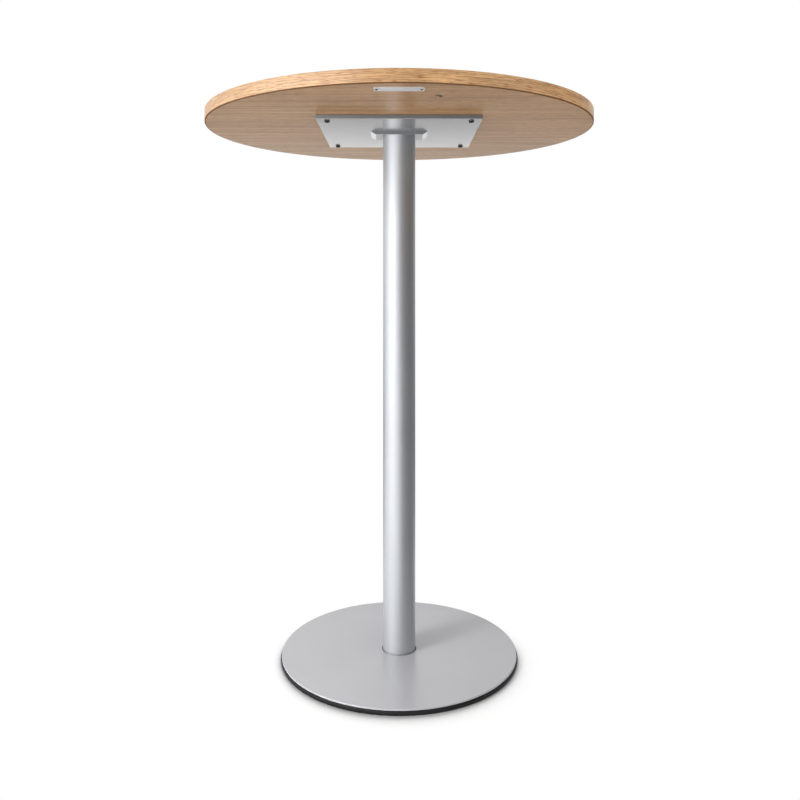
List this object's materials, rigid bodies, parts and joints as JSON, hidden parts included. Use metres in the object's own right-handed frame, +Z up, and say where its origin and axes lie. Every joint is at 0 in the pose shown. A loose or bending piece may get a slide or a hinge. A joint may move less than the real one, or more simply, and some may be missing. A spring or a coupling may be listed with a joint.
{
  "type": "standing meeting table",
  "caption": "Round standing meeting table: veneered board with a solid wood edge on a straight steel column over a flat, weighted round base with a black edge ring.",
  "frame": {"origin": "on the floor, on the column's axis, which is also the centre of the top and of the base", "axes": "+Z up along the column, X along the head flange and the wood grain, the label plate on the -Y side"},
  "size_m": [0.7999, 0.8, 1.13],
  "materials": {
    "face_veneer": "satin lacquered oak veneer, straight grain along X",
    "back_veneer": "satin lacquered oak veneer, straight grain along X",
    "oak_lipping": "satin lacquered solid oak, grain round the edge",
    "board": "pressed particle board, sealed inside",
    "insert_steel": "zinc-plated turned steel",
    "silver_plate": "smooth glossy silver coating on steel plate",
    "silver_column": "satin silver powder coating on steel",
    "silver_cover": "satin silver coating on spun sheet steel",
    "bare_steel": "turned steel, bare",
    "bolt_zinc": "zinc-plated steel",
    "black_screw": "black oxide, slightly oily sheen",
    "black_ballast": "matt black primer on steel plate",
    "black_ring": "matt black moulded plastic",
    "label_metal": "brushed aluminium, bare"
  },
  "bodies": {
    "root": {"top_veneer": "face_veneer", "board_core": "board", "underside_veneer": "back_veneer", "edge_lipping": "oak_lipping", "threaded_inserts": "insert_steel", "mounting_plate": "silver_plate", "plate_screws": "black_screw", "head_flange": "silver_column", "column_tube": "silver_column", "column_plugs": "bare_steel", "column_bolts": "bolt_zinc", "ballast_plate": "black_ballast", "base_cover": "silver_cover", "edge_ring": "black_ring", "label_plate": "label_metal"}
  },
  "joints": []
}
